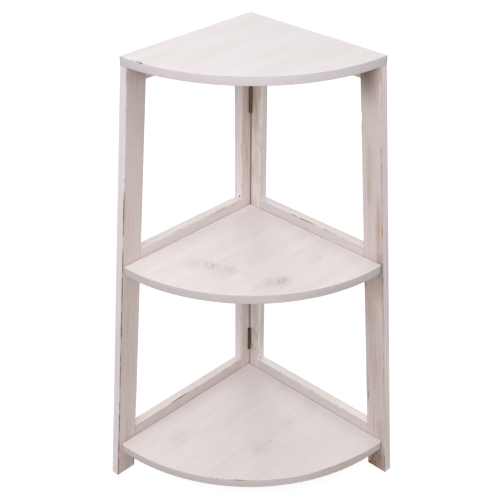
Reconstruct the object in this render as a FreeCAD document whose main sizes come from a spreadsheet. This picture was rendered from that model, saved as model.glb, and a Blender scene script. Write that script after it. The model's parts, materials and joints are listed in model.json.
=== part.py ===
# Three-tier corner shelf: two hinged board frames carrying three quarter-round shelves.
#
# Frame: millimetres, +Z up, origin on the floor under the middle of the overall box.
# The left frame stands against the wall at the low X side and runs towards low Y.
# The right frame stands against the wall at the high Y side and runs towards high X.
# Each board lies in its own local axes: X along the wall, Y up, Z through the thickness.

import FreeCAD
import Part
import Sketcher
import math
import os

doc = FreeCAD.newDocument("corner_shelf")
vector = FreeCAD.Vector

# Driving sizes, read off the photograph against a 50 mm butt hinge
driving = [
    ("overall_height", 815.0),
    ("leg_reach_foot", 377.0),
    ("leg_reach_top", 297.5),
    ("frame_board", 17.0),
    ("stock_width", 41.0),
    ("narrow_stile", 23.0),
    ("top_board", 16.0),
    ("shelf_board", 17.0),
    ("top_overhang", 0.5),
    ("middle_tip_gap", 1.4),
    ("bottom_tip_gap", 5.9),
    ("upper_bay", 351.0),
    ("bottom_top", 71.0),
    ("middle_rail_drop", 5.5),
    ("bottom_rail_drop", 2.0),
    ("rail_height", 41.0),
    ("top_rail_height", 29.0),
    ("eased_edge", 1.0),
    ("shelf_ease", 1.2),
    ("overrun", 4.0),
    ("dowel_radius", 3.0),
    ("dowel_fit", 0.02),
    ("dowel_length", 28.0),
    ("dowel_end_gap", 0.5),
    ("dowel_chamfer", 0.6),
    ("dowel_spacing", 20.0),
    ("top_dowel_spacing", 13.0),
    ("screw_head_radius", 3.8),
    ("screw_shank_radius", 2.0),
    ("screw_fit", 0.02),
    ("screw_sink", 0.1),
    ("recess_arm", 2.1),
    ("recess_half_width", 0.45),
    ("recess_depth", 1.3),
    ("pilot_radius", 1.3),
    ("pilot_depth", 22.0),
    ("top_pilot_depth", 11.0),
    ("screw_near", 95.0),
    ("screw_leg_margin", 36.0),
    ("knuckle_radius", 3.0),
    ("knuckle_clear", 0.1),
    ("knuckle_gap", 0.15),
    ("leaf_length", 50.0),
    ("leaf_thickness", 1.0),
    ("leaf_clear", 0.2),
    ("leaf_back_gap", 1.5),
    ("pin_radius", 1.25),
    ("pin_fit", 0.05),
    ("pin_tip_height", 0.9),
    ("pin_tip_radius", 2.4),
    ("pin_tip_flat", 1.4),
    ("upper_hinge_drop", 112.0),
    ("lower_hinge_rise", 40.0),
    ("leaf_screw_head", 2.2),
    ("leaf_screw_shank", 1.2),
    ("leaf_screw_length", 12.0),
    ("leaf_screw_spacing", 16.0),
    ("leaf_recess_arm", 1.2),
    ("leaf_recess_half_width", 0.28),
    ("leaf_recess_depth", 0.7),
]

# Sizes worked out from the driving ones by the sheet itself
derived = [
    ("half_reach", "=leg_reach_foot/2"),
    ("frame_height", "=overall_height-top_board"),
    ("slope_share", "=(leg_reach_foot-leg_reach_top)/frame_height"),
    ("slant", "=leg_reach_foot-leg_reach_top"),
    ("leg_cut", "=stock_width*sqrt(1+slope_share*slope_share)"),
    ("slant_and_cut", "=slant+leg_cut"),
    ("mid_board", "=frame_board/2"),
    ("leg_back_foot", "=leg_reach_foot-leg_cut"),
    ("leg_base", "=leg_reach_top-leg_cut"),
    ("seam_gap", "=2*leaf_thickness+leaf_clear"),
    ("right_stile_start", "=frame_board+seam_gap"),
    ("right_stile_end", "=right_stile_start+narrow_stile"),
    ("middle_top", "=frame_height-upper_bay"),
    ("top_radius", "=leg_reach_top+top_overhang"),
    ("middle_radius", "=leg_reach_foot-slope_share*middle_top-frame_board-middle_tip_gap"),
    ("bottom_radius", "=leg_reach_foot-slope_share*bottom_top-frame_board-bottom_tip_gap"),
    ("top_rail_low", "=frame_height-top_rail_height"),
    ("middle_rail_low", "=middle_top-shelf_board-middle_rail_drop"),
    ("bottom_rail_low", "=bottom_top-shelf_board-bottom_rail_drop"),
    ("rail_lean", "=rail_height*slope_share"),
    ("top_rail_lean", "=top_rail_height*slope_share"),
    ("dowel_bore", "=dowel_radius+dowel_fit"),
    ("dowel_depth", "=dowel_length/2+dowel_end_gap"),
    ("dowel_low", "=(rail_height-dowel_spacing)/2"),
    ("dowel_high", "=dowel_low+dowel_spacing"),
    ("top_dowel_low", "=(top_rail_height-top_dowel_spacing)/2"),
    ("top_dowel_high", "=top_dowel_low+top_dowel_spacing"),
    ("half_dowel", "=dowel_length/2"),
    ("half_dowel_back", "=-dowel_length/2"),
    ("depth_and_overrun", "=dowel_depth+overrun"),
    ("screw_bore", "=screw_shank_radius+screw_fit"),
    ("screw_bore_width", "=2*screw_bore"),
    ("screw_cut_width", "=2*(screw_head_radius+screw_sink)"),
    ("head_depth", "=screw_head_radius-screw_shank_radius"),
    ("shelf_screw_length", "=frame_board-screw_sink"),
    ("top_screw_length", "=top_rail_height-screw_sink"),
    ("middle_screw_height", "=middle_top-shelf_board/2"),
    ("bottom_screw_height", "=bottom_top-shelf_board/2"),
    ("top_screw_far", "=leg_base-screw_leg_margin"),
    ("middle_screw_far", "=leg_back_foot-slope_share*middle_screw_height-screw_leg_margin"),
    ("bottom_screw_far", "=leg_back_foot-slope_share*bottom_screw_height-screw_leg_margin"),
    ("middle_screw_rise", "=middle_screw_height-middle_rail_low"),
    ("bottom_screw_rise", "=bottom_screw_height-bottom_rail_low"),
    ("top_screw_start", "=top_rail_low+screw_sink"),
    ("half_shelf", "=shelf_board/2"),
    ("pilot_near", "=screw_near-frame_board"),
    ("recess_arm_back", "=-recess_arm"),
    ("recess_half_width_back", "=-recess_half_width"),
    ("leaf_recess_arm_back", "=-leaf_recess_arm"),
    ("leaf_recess_half_width_back", "=-leaf_recess_half_width"),
    ("pin_stand", "=knuckle_radius+knuckle_clear"),
    ("pin_offset", "=frame_board+pin_stand"),
    ("knuckle_pitch", "=leaf_length/5"),
    ("knuckle_length", "=knuckle_pitch-knuckle_gap"),
    ("two_pitches", "=2*knuckle_pitch"),
    ("four_pitches", "=4*knuckle_pitch"),
    ("plate_near", "=pin_stand+knuckle_clear"),
    ("plate_far", "=pin_offset-leaf_back_gap"),
    ("left_plate_low", "=-pin_stand"),
    ("left_plate_high", "=-pin_stand+leaf_thickness"),
    ("right_plate_high", "=seam_gap-pin_stand"),
    ("right_plate_low", "=right_plate_high-leaf_thickness"),
    ("pin_bore_radius", "=pin_radius+pin_fit"),
    ("tongue_inner", "=pin_bore_radius-knuckle_clear"),
    ("bore_run", "=leaf_length+overrun"),
    ("pin_top", "=leaf_length-knuckle_gap"),
    ("pin_top_tip", "=pin_top+pin_tip_height"),
    ("pin_bottom_tip", "=-pin_tip_height"),
    ("leaf_bore_width", "=2*(leaf_screw_shank+screw_fit)"),
    ("leaf_cut_width", "=2*(leaf_screw_head+screw_fit)"),
    ("leaf_bore", "=leaf_screw_shank+screw_fit"),
    ("leaf_head_depth", "=leaf_screw_head-leaf_screw_shank"),
    ("leaf_taper_start", "=leaf_screw_length-2*leaf_screw_shank"),
    ("leaf_screw_inset", "=(plate_near+plate_far)/2"),
    ("leaf_screw_low", "=leaf_length/2-leaf_screw_spacing"),
    ("leaf_screw_mid", "=leaf_screw_low+leaf_screw_spacing"),
    ("leaf_screw_high", "=leaf_screw_low+2*leaf_screw_spacing"),
    ("leaf_screw_run", "=2*leaf_screw_spacing"),
    ("leaf_pilot_depth", "=leaf_screw_length"),
    ("upper_hinge_low", "=frame_height-upper_hinge_drop-leaf_length"),
    ("lower_hinge_low", "=bottom_top+lower_hinge_rise"),
    ("upper_screw_low", "=upper_hinge_low+leaf_screw_low"),
    ("upper_screw_mid", "=upper_hinge_low+leaf_screw_mid"),
    ("upper_screw_high", "=upper_hinge_low+leaf_screw_high"),
    ("lower_screw_low", "=lower_hinge_low+leaf_screw_low"),
    ("lower_screw_mid", "=lower_hinge_low+leaf_screw_mid"),
    ("lower_screw_high", "=lower_hinge_low+leaf_screw_high"),
    ("leaf_screw_wall", "=pin_offset-leaf_screw_inset"),
    ("left_outer_x", "=-half_reach"),
    ("left_inner_x", "=frame_board-half_reach"),
    ("left_mid_x", "=mid_board-half_reach"),
    ("left_sunk_x", "=screw_sink-half_reach"),
    ("right_inner_y", "=half_reach-frame_board"),
    ("right_mid_y", "=half_reach-mid_board"),
    ("right_sunk_y", "=half_reach-screw_sink"),
    ("left_leg_y", "=half_reach-leg_base"),
    ("left_rail_y", "=half_reach-stock_width"),
    ("left_screw_y", "=half_reach-screw_near"),
    ("right_leg_x", "=leg_base-half_reach"),
    ("right_rail_x", "=right_stile_end-half_reach"),
    ("right_stile_x", "=right_stile_start-half_reach"),
    ("right_screw_x", "=screw_near-half_reach"),
    ("pin_x", "=pin_offset-half_reach"),
    ("pin_y", "=half_reach-pin_offset"),
    ("leaf_screw_y", "=pin_y+leaf_screw_inset"),
    ("left_head_x", "=pin_x+left_plate_high"),
    ("right_head_x", "=pin_x+right_plate_low"),
]

# Rail lengths, dowel spots and screw spots for each side and level
for side, edge in (("left", "stock_width"), ("right", "right_stile_end")):
    derived.append((side + "_near", "=screw_near-" + edge))
    for level, lean in (("top", "top_rail_lean"), ("middle", "rail_lean"), ("bottom", "rail_lean")):
        rail = side + "_" + level
        low = level + "_rail_low"
        derived.append((rail + "_far", "=%s_screw_far-%s" % (level, edge)))
        derived.append((rail + "_low_length", "=leg_back_foot-slope_share*%s-%s" % (low, edge)))
        derived.append((rail + "_high_length", "=%s_low_length-%s" % (rail, lean)))
        derived.append((rail + "_far_joint", "=%s_low_length-%s/2" % (rail, lean)))
        derived.append((rail + "_far_hole", "=%s_far_joint-dowel_depth" % rail))
        derived.append((rail + "_far_dowel", "=%s_far_joint-half_dowel" % rail))
for level, lean in (("top", "top_rail_lean"), ("middle", "rail_lean"), ("bottom", "rail_lean")):
    low = level + "_rail_low"
    derived.append((level + "_screw_spacing", "=%s_screw_far-screw_near" % level))
    derived.append((level + "_pilot_far", "=%s_screw_far-frame_board" % level))
    derived.append((level + "_leg_back", "=slant-slope_share*%s-%s/2" % (low, lean)))
    derived.append((level + "_leg_hole", "=%s_leg_back+dowel_depth" % level))
    first = "top_dowel_low" if level == "top" else "dowel_low"
    second = "top_dowel_high" if level == "top" else "dowel_high"
    derived.append((level + "_hole_low", "=%s+%s" % (low, first)))
    derived.append((level + "_hole_high", "=%s+%s" % (low, second)))
derived.append(("stile_hole", "=stock_width-dowel_depth"))
derived.append(("narrow_hole", "=narrow_stile-dowel_depth"))

# The sheet that holds every size
dims = doc.addObject("Spreadsheet::Sheet", "dims")
for row, (word, number) in enumerate(driving + derived, start=1):
    dims.set("A%d" % row, word)
    dims.set("B%d" % row, str(number))
    dims.setAlias("B%d" % row, word)
doc.recompute()


# Value of a size word, or zero
def size(word):
    return float(dims.get(word)) if word else 0.0


# One of the body's own origin planes
def plane(body, role):
    for feature in body.Origin.OriginFeatures:
        if feature.Role == role:
            return feature


# An empty sketch on an origin plane, moved out along the plane's normal by a size word
def sketch_on(body, name, role, height=0):
    sketch = body.newObject("Sketcher::SketchObject", name)
    sketch.AttachmentSupport = [(plane(body, role), "")]
    sketch.MapMode = "FlatFace"
    if height:
        sketch.setExpression("AttachmentOffset.Base.z", "dims." + height)
    return sketch


# Tie a sketch point to its two size words
def tie(sketch, index, point, spot):
    for kind, word in zip(("DistanceX", "DistanceY"), spot):
        number = sketch.addConstraint(Sketcher.Constraint(kind, index, point, size(word)))
        if word:
            sketch.setExpression("Constraints[%d]" % number, "dims." + word)


# A closed outline through corners given as pairs of size words
def outline(body, name, role, corners, height=0):
    sketch = sketch_on(body, name, role, height)
    count = len(corners)
    spots = [vector(size(a), size(b), 0) for a, b in corners]
    for i in range(count):
        sketch.addGeometry(Part.LineSegment(spots[i], spots[(i + 1) % count]), False)
    for i in range(count):
        sketch.addConstraint(Sketcher.Constraint("Coincident", i, 2, (i + 1) % count, 1))
        tie(sketch, i, 1, corners[i])
    return sketch


# Round holes or bars of one radius at centres given as pairs of size words
def circles(body, name, role, centres, radius, height=0):
    sketch = sketch_on(body, name, role, height)
    for i, (a, b) in enumerate(centres):
        sketch.addGeometry(Part.Circle(vector(size(a), size(b), 0), vector(0, 0, 1), size(radius)), False)
        tie(sketch, i, 3, (a, b))
        number = sketch.addConstraint(Sketcher.Constraint("Radius", i, size(radius)))
        sketch.setExpression("Constraints[%d]" % number, "dims." + radius)
    return sketch


# Raise a sketch by a size word
def pad(body, name, sketch, length):
    feature = body.newObject("PartDesign::Pad", name)
    feature.Profile = sketch
    feature.setExpression("Length", "dims." + length)
    doc.recompute()
    return feature


# Turn a closed outline round the sketch's upright axis
def turn(body, name, sketch):
    feature = body.newObject("PartDesign::Revolution", name)
    feature.Profile = sketch
    feature.ReferenceAxis = (sketch, ["V_Axis"])
    feature.Angle = 360
    doc.recompute()
    return feature


# Repeat features in a row along a plane's normal, the last one a size word away
def row_of(body, name, features, role, length, count):
    feature = body.newObject("PartDesign::LinearPattern", name)
    feature.Originals = features
    feature.Direction = (plane(body, role), [""])
    feature.setExpression("Length", "dims." + length)
    feature.Occurrences = count
    body.Tip = feature
    doc.recompute()
    return feature


# Cut a sketch by a size word, forward along its normal or backward; it must take wood away
def pocket(body, name, sketch, length, forward):
    before = body.Shape.Volume
    feature = body.newObject("PartDesign::Pocket", name)
    feature.Profile = sketch
    feature.setExpression("Length", "dims." + length)
    feature.Reversed = forward
    doc.recompute()
    if not body.Shape.Volume < before:
        raise RuntimeError(body.Label + " " + name + " cut nothing")
    return feature


# Countersunk through holes; the wide end lies in the sketch plane
def countersunk(body, name, sketch, width, cut_width, forward):
    before = body.Shape.Volume
    doc.recompute()
    feature = body.newObject("PartDesign::Hole", name)
    feature.Profile = sketch
    doc.recompute()
    feature.ThreadType = "None"
    feature.HoleCutType = "Countersink"
    feature.setExpression("Diameter", "dims." + width)
    feature.setExpression("HoleCutDiameter", "dims." + cut_width)
    feature.HoleCutCountersinkAngle = 90
    feature.DepthType = "ThroughAll"
    feature.Reversed = forward
    doc.recompute()
    if not body.Shape.Volume < before:
        raise RuntimeError(body.Label + " " + name + " cut nothing")
    return feature


# Round over the chosen edges of the last feature
def ease(body, name, base, radius, chosen):
    names = ["Edge%d" % (i + 1) for i, edge in enumerate(base.Shape.Edges) if chosen(edge)]
    feature = body.newObject("PartDesign::Fillet", name)
    feature.Base = (base, names)
    feature.setExpression("Radius", "dims." + radius)
    doc.recompute()
    return feature


# How far an edge runs along one axis
def run(edge, axis):
    ends = [vertex.Point for vertex in edge.Vertexes]
    return abs(ends[-1][axis] - ends[0][axis])


# Set a body in the shared frame: turned, with its base point tied to three size words
def place(body, turn, spot):
    body.Placement = FreeCAD.Placement(vector(0, 0, 0), turn)
    for axis, word in zip("xyz", spot):
        if word:
            body.setExpression("Placement.Base." + axis, "dims." + word)
    doc.recompute()


# The turns used by the two frames, their screws and the shelves
def turned(x_axis, y_axis, z_axis):
    return FreeCAD.Rotation(vector(*x_axis), vector(*y_axis), vector(*z_axis), "ZXY")


left_board_turn = turned((0, -1, 0), (0, 0, 1), (-1, 0, 0))
right_board_turn = turned((1, 0, 0), (0, 0, 1), (0, -1, 0))
left_screw_turn = turned((0, -1, 0), (0, 0, -1), (1, 0, 0))
right_screw_turn = right_board_turn
left_rising_turn = turned((0, -1, 0), (1, 0, 0), (0, 0, 1))
right_rising_turn = FreeCAD.Rotation()
shelf_turn = turned((1, 0, 0), (0, -1, 0), (0, 0, -1))

nodes = []


# Start a sub-part of its own name
def start(label):
    body = doc.addObject("PartDesign::Body", label)
    body.Label = label
    nodes.append(body)
    return body


levels = ("top", "middle", "bottom")
hinges = ("upper", "lower")

# Rear stiles: upright boards with dowel holes for three rails and pilot holes for two hinges
pilot_heights = [hinge + spot for hinge in hinges for spot in ("_screw_low", "_screw_mid", "_screw_high")]
dowel_heights = [level + spot for level in levels for spot in ("_hole_low", "_hole_high")]
for side, width, hole in (("left", "stock_width", "stile_hole"), ("right", "narrow_stile", "narrow_hole")):
    body = start(side + "_rear_stile")
    corners = [(0, 0), (width, 0), (width, "frame_height"), (0, "frame_height")]
    board = pad(body, "board", outline(body, "face", "XY_Plane", corners), "frame_board")
    ease(body, "eased", board, "eased_edge", lambda edge: run(edge, 1) > size("stock_width"))
    spots = [(height, "mid_board") for height in dowel_heights]
    sketch = circles(body, "dowel_spots", "YZ_Plane", spots, "dowel_bore", hole)
    pocket(body, "dowel_holes", sketch, "depth_and_overrun", True)
    if side == "left":
        spots = [("leaf_screw_wall", height) for height in pilot_heights]
        sketch = circles(body, "pilot_spots", "XY_Plane", spots, "leaf_bore")
        pocket(body, "hinge_pilots", sketch, "leaf_pilot_depth", True)
        place(body, left_board_turn, ("left_inner_x", "half_reach", 0))
    else:
        spots = [(height, "leaf_screw_wall") for height in pilot_heights]
        sketch = circles(body, "pilot_spots", "YZ_Plane", spots, "leaf_bore")
        pocket(body, "hinge_pilots", sketch, "leaf_pilot_depth", True)
        place(body, right_board_turn, ("right_stile_x", "half_reach", 0))

# Front legs: boards leaning outwards towards the floor, cut level at both ends
for side in ("left", "right"):
    body = start(side + "_front_leg")
    corners = [("slant", 0), ("slant_and_cut", 0), ("leg_cut", "frame_height"), (0, "frame_height")]
    board = pad(body, "board", outline(body, "face", "XY_Plane", corners), "frame_board")
    ease(body, "eased", board, "eased_edge", lambda edge: run(edge, 1) > size("stock_width"))
    for level in levels:
        spots = [(level + "_hole_low", "mid_board"), (level + "_hole_high", "mid_board")]
        sketch = circles(body, level + "_spots", "YZ_Plane", spots, "dowel_bore", level + "_leg_hole")
        pocket(body, level + "_holes", sketch, "depth_and_overrun", False)
    if side == "left":
        place(body, left_board_turn, ("left_inner_x", "left_leg_y", 0))
    else:
        place(body, right_board_turn, ("right_leg_x", "half_reach", 0))

# Rails: three per frame, their front ends cut to the lean of the leg, with countersunk screw holes
for side in ("left", "right"):
    for level in levels:
        rail = side + "_" + level
        top = level == "top"
        height = "top_rail_height" if top else "rail_height"
        body = start(rail + "_rail")
        corners = [(0, 0), (rail + "_low_length", 0), (rail + "_high_length", height), (0, height)]
        board = pad(body, "board", outline(body, "face", "XY_Plane", corners), "frame_board")
        ease(body, "eased", board, "eased_edge", lambda edge: run(edge, 0) > size("stock_width"))
        spots = [("top_dowel_low" if top else "dowel_low", "mid_board"),
                 ("top_dowel_high" if top else "dowel_high", "mid_board")]
        sketch = circles(body, "near_spots", "YZ_Plane", spots, "dowel_bore", "dowel_depth")
        pocket(body, "near_holes", sketch, "depth_and_overrun", False)
        sketch = circles(body, "far_spots", "YZ_Plane", spots, "dowel_bore", rail + "_far_hole")
        pocket(body, "far_holes", sketch, "depth_and_overrun", True)
        if top:
            spots = [(side + "_near", "mid_board"), (rail + "_far", "mid_board")]
            sketch = circles(body, "screw_spots", "XZ_Plane", spots, "screw_bore")
            countersunk(body, "screw_holes", sketch, "screw_bore_width", "screw_cut_width", False)
        elif side == "left":
            spots = [(side + "_near", level + "_screw_rise"), (rail + "_far", level + "_screw_rise")]
            sketch = circles(body, "screw_spots", "XY_Plane", spots, "screw_bore", "frame_board")
            countersunk(body, "screw_holes", sketch, "screw_bore_width", "screw_cut_width", False)
        else:
            spots = [(side + "_near", level + "_screw_rise"), (rail + "_far", level + "_screw_rise")]
            sketch = circles(body, "screw_spots", "XY_Plane", spots, "screw_bore")
            countersunk(body, "screw_holes", sketch, "screw_bore_width", "screw_cut_width", True)
        if side == "left":
            place(body, left_board_turn, ("left_inner_x", "left_rail_y", level + "_rail_low"))
        else:
            place(body, right_board_turn, ("right_rail_x", "half_reach", level + "_rail_low"))

# Dowels: four beech pegs per rail, two into the stile and two into the leg
for side in ("left", "right"):
    for level in levels:
        top = level == "top"
        body = start(side + "_" + level + "_dowels")
        spots = [("top_dowel_low" if top else "dowel_low", "mid_board"),
                 ("top_dowel_high" if top else "dowel_high", "mid_board")]
        sketch = circles(body, "near_spots", "YZ_Plane", spots, "dowel_radius", "half_dowel_back")
        pad(body, "near_pegs", sketch, "dowel_length")
        far = side + "_" + level + "_far_dowel"
        sketch = circles(body, "far_spots", "YZ_Plane", spots, "dowel_radius", far)
        pegs = pad(body, "far_pegs", sketch, "dowel_length")
        rims = [i + 1 for i, edge in enumerate(pegs.Shape.Edges) if len(edge.Vertexes) == 1]
        ends = body.newObject("PartDesign::Chamfer", "ends")
        ends.Base = (pegs, ["Edge%d" % number for number in rims])
        ends.setExpression("Size", "dims.dowel_chamfer")
        doc.recompute()
        if side == "left":
            place(body, left_board_turn, ("left_inner_x", "left_rail_y", level + "_rail_low"))
        else:
            place(body, right_board_turn, ("right_rail_x", "half_reach", level + "_rail_low"))

# Shelves: quarter rounds with eased edges; local Z points down from the upper face
shelf_spots = {
    "top": ("top_radius", "top_board", ("left_outer_x", "half_reach", "overall_height")),
    "middle": ("middle_radius", "shelf_board", ("left_inner_x", "right_inner_y", "middle_top")),
    "bottom": ("bottom_radius", "shelf_board", ("left_inner_x", "right_inner_y", "bottom_top")),
}
for level in levels:
    radius, thickness, spot = shelf_spots[level]
    reach = size(radius)
    body = start(level + "_shelf")
    sketch = sketch_on(body, "quarter", "XY_Plane")
    corner = vector(0, 0, 0)
    arc = Part.ArcOfCircle(Part.Circle(corner, vector(0, 0, 1), reach), 0, math.pi / 2)
    sketch.addGeometry(Part.LineSegment(corner, vector(reach, 0, 0)), False)
    sketch.addGeometry(arc, False)
    sketch.addGeometry(Part.LineSegment(vector(0, reach, 0), corner), False)
    sketch.addConstraint(Sketcher.Constraint("Coincident", 0, 2, 1, 1))
    sketch.addConstraint(Sketcher.Constraint("Coincident", 1, 2, 2, 1))
    sketch.addConstraint(Sketcher.Constraint("Coincident", 2, 2, 0, 1))
    sketch.addConstraint(Sketcher.Constraint("Coincident", 1, 3, 0, 1))
    sketch.addConstraint(Sketcher.Constraint("Horizontal", 0))
    sketch.addConstraint(Sketcher.Constraint("Vertical", 2))
    tie(sketch, 0, 1, (0, 0))
    number = sketch.addConstraint(Sketcher.Constraint("Radius", 1, reach))
    sketch.setExpression("Constraints[%d]" % number, "dims." + radius)
    board = pad(body, "board", sketch, thickness)
    ease(body, "eased", board, "shelf_ease", lambda edge: run(edge, 2) < size("shelf_ease"))
    if level == "top":
        spots = [("mid_board", "screw_near"), ("mid_board", "top_screw_far"),
                 ("screw_near", "mid_board"), ("top_screw_far", "mid_board")]
        sketch = circles(body, "pilot_spots", "XY_Plane", spots, "pilot_radius", "top_board")
        pocket(body, "pilots", sketch, "top_pilot_depth", False)
    else:
        spots = [("pilot_near", "half_shelf"), (level + "_pilot_far", "half_shelf")]
        sketch = circles(body, "left_pilot_spots", "YZ_Plane", spots, "pilot_radius")
        pocket(body, "left_pilots", sketch, "pilot_depth", True)
        sketch = circles(body, "right_pilot_spots", "XZ_Plane", spots, "pilot_radius")
        pocket(body, "right_pilots", sketch, "pilot_depth", False)
    place(body, shelf_turn, spot)


# A cross recess outline in the plane of a screw head
def recess(body, arm, half):
    arm_back, half_back = arm + "_back", half + "_back"
    corners = [(arm, half_back), (arm, half), (half, half), (half, arm),
               (half_back, arm), (half_back, half), (arm_back, half), (arm_back, half_back),
               (half_back, half_back), (half_back, arm_back), (half, arm_back), (half, half_back)]
    return outline(body, "cross", "XY_Plane", corners)


# Shelf screws: countersunk, shanks shown only as far as the joint between rail and shelf
for side in ("left", "right"):
    for level in levels:
        top = level == "top"
        length = "top_screw_length" if top else "shelf_screw_length"
        body = start(side + "_" + level + "_shelf_screws")
        corners = [(0, 0), ("screw_head_radius", 0), ("screw_shank_radius", "head_depth"),
                   ("screw_shank_radius", length), (0, length)]
        shank = turn(body, "shank", outline(body, "profile", "XZ_Plane", corners))
        slot = pocket(body, "recess", recess(body, "recess_arm", "recess_half_width"), "recess_depth", True)
        row_of(body, "pair", [shank, slot], "YZ_Plane", level + "_screw_spacing", 2)
        height = "top_screw_start" if top else level + "_screw_height"
        if side == "left":
            spot = ("left_mid_x" if top else "left_sunk_x", "left_screw_y", height)
            place(body, left_rising_turn if top else left_screw_turn, spot)
        else:
            spot = ("right_screw_x", "right_mid_y" if top else "right_sunk_y", height)
            place(body, right_rising_turn if top else right_screw_turn, spot)

# Hinges: two butt hinges, each with two leaves, a pin and six countersunk screws
for hinge in hinges:
    low = hinge + "_hinge_low"
    for side, count, first, row_length in (("left", 3, 0, "four_pitches"),
                                           ("right", 2, "knuckle_pitch", "two_pitches")):
        body = start(hinge + "_hinge_" + side + "_leaf")
        inner, outer = side + "_plate_low", side + "_plate_high"
        corners = [(inner, "plate_near"), (outer, "plate_near"), (outer, "plate_far"), (inner, "plate_far")]
        pad(body, "plate", outline(body, "plate_face", "XY_Plane", corners), "leaf_length")
        ring = circles(body, "knuckle_ring", "XY_Plane", [(0, 0)], "knuckle_radius", first)
        knuckle = pad(body, "knuckle", ring, "knuckle_length")
        root = 0 if side == "left" else "tongue_inner"
        corners = [(inner, root), (outer, root), (outer, "plate_near"), (inner, "plate_near")]
        sketch = outline(body, "tongue_face", "XY_Plane", corners, first)
        tongue = pad(body, "tongue", sketch, "knuckle_length")
        row_of(body, "knuckles", [knuckle, tongue], "XY_Plane", row_length, count)
        bore = circles(body, "bore_ring", "XY_Plane", [(0, 0)], "pin_bore_radius")
        pocket(body, "bore", bore, "bore_run", True)
        spots = [("leaf_screw_inset", "leaf_screw_" + spot) for spot in ("low", "mid", "high")]
        face = "left_plate_high" if side == "left" else "right_plate_low"
        sketch = circles(body, "screw_spots", "YZ_Plane", spots, "leaf_bore", face)
        countersunk(body, "screw_holes", sketch, "leaf_bore_width", "leaf_cut_width", side == "right")
        place(body, FreeCAD.Rotation(), ("pin_x", "pin_y", low))

    body = start(hinge + "_hinge_pin")
    corners = [(0, "pin_bottom_tip"), ("pin_tip_flat", "pin_bottom_tip"), ("pin_tip_radius", 0),
               ("pin_radius", 0), ("pin_radius", "pin_top"), ("pin_tip_radius", "pin_top"),
               ("pin_tip_flat", "pin_top_tip"), (0, "pin_top_tip")]
    turn(body, "pin", outline(body, "profile", "XZ_Plane", corners))
    place(body, FreeCAD.Rotation(), ("pin_x", "pin_y", low))

    for side, head_x, z_axis, y_axis in (("left", "left_head_x", (-1, 0, 0), (0, 1, 0)),
                                         ("right", "right_head_x", (1, 0, 0), (0, -1, 0))):
        body = start(hinge + "_hinge_" + side + "_screws")
        corners = [(0, 0), ("leaf_screw_head", 0), ("leaf_screw_shank", "leaf_head_depth"),
                   ("leaf_screw_shank", "leaf_taper_start"), (0, "leaf_screw_length")]
        shank = turn(body, "shank", outline(body, "profile", "XZ_Plane", corners))
        cross = recess(body, "leaf_recess_arm", "leaf_recess_half_width")
        slot = pocket(body, "recess", cross, "leaf_recess_depth", True)
        row_of(body, "three", [shank, slot], "YZ_Plane", "leaf_screw_run", 3)
        place(body, turned((0, 0, 1), y_axis, z_axis), (head_x, "leaf_screw_y", hinge + "_screw_low"))

doc.recompute()

# Every object must be sound before anything is written
for item in doc.Objects:
    if "Invalid" in item.State or "Error" in item.State:
        raise RuntimeError(item.Label + " is not sound: " + str(item.State))
for body in nodes:
    if body.Shape.isNull() or not body.Shape.isValid():
        raise RuntimeError(body.Label + " has no valid shape")

os.makedirs("parts", exist_ok=True)
for body in nodes:
    body.Shape.exportStep("parts/" + body.Label + ".step")
print(len(nodes), "sub-parts written")
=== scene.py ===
# %% [markdown]
# # A whitewashed corner shelf
# Three quarter-round boards sit in a corner made by two board frames, which butt hinges join.
# The wood was washed with thin white paint and then rubbed, so the grain shows through on the
# faces and the bare wood shows along the arrises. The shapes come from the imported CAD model.
# This script gives each board its own grain, wash and wear, lights the shelf softly, and sets
# the camera where it stood for the photograph.

# %% Load the frame
import bpy
import json
import math
from mathutils import Matrix, Vector


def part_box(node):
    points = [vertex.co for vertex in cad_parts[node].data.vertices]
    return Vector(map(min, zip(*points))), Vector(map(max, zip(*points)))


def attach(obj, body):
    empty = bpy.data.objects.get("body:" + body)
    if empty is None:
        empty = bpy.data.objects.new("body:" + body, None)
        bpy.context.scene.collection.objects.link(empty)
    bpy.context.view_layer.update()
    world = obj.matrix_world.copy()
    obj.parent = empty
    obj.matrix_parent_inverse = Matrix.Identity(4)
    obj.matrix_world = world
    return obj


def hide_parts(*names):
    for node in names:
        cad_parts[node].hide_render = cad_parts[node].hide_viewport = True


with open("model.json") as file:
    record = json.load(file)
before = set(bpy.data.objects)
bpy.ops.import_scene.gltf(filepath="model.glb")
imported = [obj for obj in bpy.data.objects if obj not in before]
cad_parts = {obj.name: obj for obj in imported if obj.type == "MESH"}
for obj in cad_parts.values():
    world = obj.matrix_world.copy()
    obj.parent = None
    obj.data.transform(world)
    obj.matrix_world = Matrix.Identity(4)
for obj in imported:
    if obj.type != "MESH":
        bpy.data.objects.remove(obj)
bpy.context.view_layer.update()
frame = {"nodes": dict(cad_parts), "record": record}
print("pieces in the frame:", len(frame["nodes"]))

# %% [markdown]
# ## Colours and sizes
# Paint and wood colours are easiest to name as sRGB hex values, the way a colour picker shows
# them. A shader works with linear light, so one function turns the first into the second.
# Blender works in metres here and a joiner in millimetres, so places are written in
# millimetres and turned by MM.

# %% Colours and sizes
MM = 0.001
WHITE_WASH = "#F2EEED"


def linear(code):
    values = [int(code[i:i + 2], 16) / 255 for i in (1, 3, 5)]
    return [v / 12.92 if v <= 0.04045 else ((v + 0.055) / 1.055) ** 2.4 for v in values] + [1.0]


print("white wash in linear light:", [round(v, 3) for v in linear(WHITE_WASH)])

# %% [markdown]
# ## One helper for nodes
# A material here is a dozen or more nodes. One function adds a node, sets its options and hands
# back its first open output. It has the sockets filled, by name or in order: another node's
# output is linked, and anything else is set. Options close the sockets they don't use, so only
# open ones are filled in order. A Map Range takes its value, then the range it is read over,
# and then the range it gives.

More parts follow.
